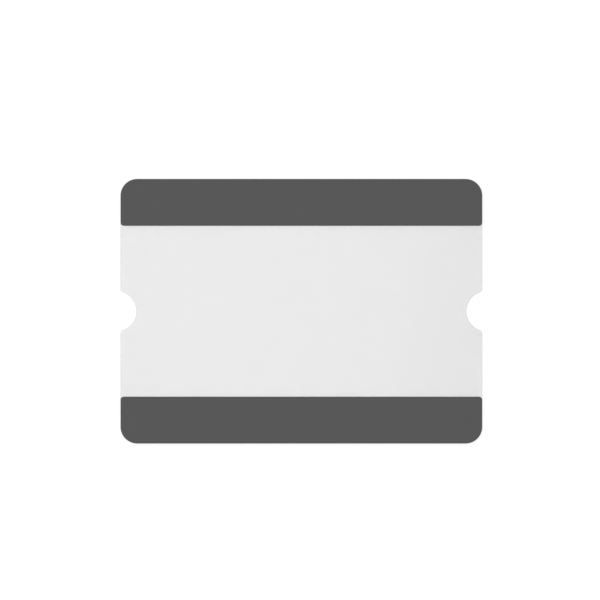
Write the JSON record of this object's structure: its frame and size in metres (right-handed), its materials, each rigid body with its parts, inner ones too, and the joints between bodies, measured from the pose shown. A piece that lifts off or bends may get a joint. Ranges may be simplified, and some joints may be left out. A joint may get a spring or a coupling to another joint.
{
  "type": "self-adhesive marking pocket",
  "caption": "Flat clear film pocket for a label card, with dark bands along its long edges, thumb notches at its open ends, and adhesive strips with release liners on the back.",
  "frame": {"origin": "middle of the pocket's outline, in the plane of the surface that the release liners rest on", "axes": "+X along the long edges, towards one open end; +Y along the short edges, towards the upper band; +Z from the back to the face"},
  "size_m": [0.216, 0.158, 0.002],
  "materials": {
    "clear_film": "smooth clear film with a soft sheen",
    "dark_film": "opaque dark grey film, fine matt grain",
    "seam_foam": "matt dark grey foam tape",
    "adhesive_foam": "matt white foam tape",
    "liner_paper": "coated release paper, low sheen"
  },
  "bodies": {
    "root": {"upper_release_liner": "liner_paper", "lower_release_liner": "liner_paper", "upper_adhesive_strip": "adhesive_foam", "lower_adhesive_strip": "adhesive_foam", "back_sheet": "clear_film", "upper_seam_tape": "seam_foam", "lower_seam_tape": "seam_foam", "window_sheet": "clear_film", "upper_band": "dark_film", "lower_band": "dark_film"}
  },
  "joints": []
}
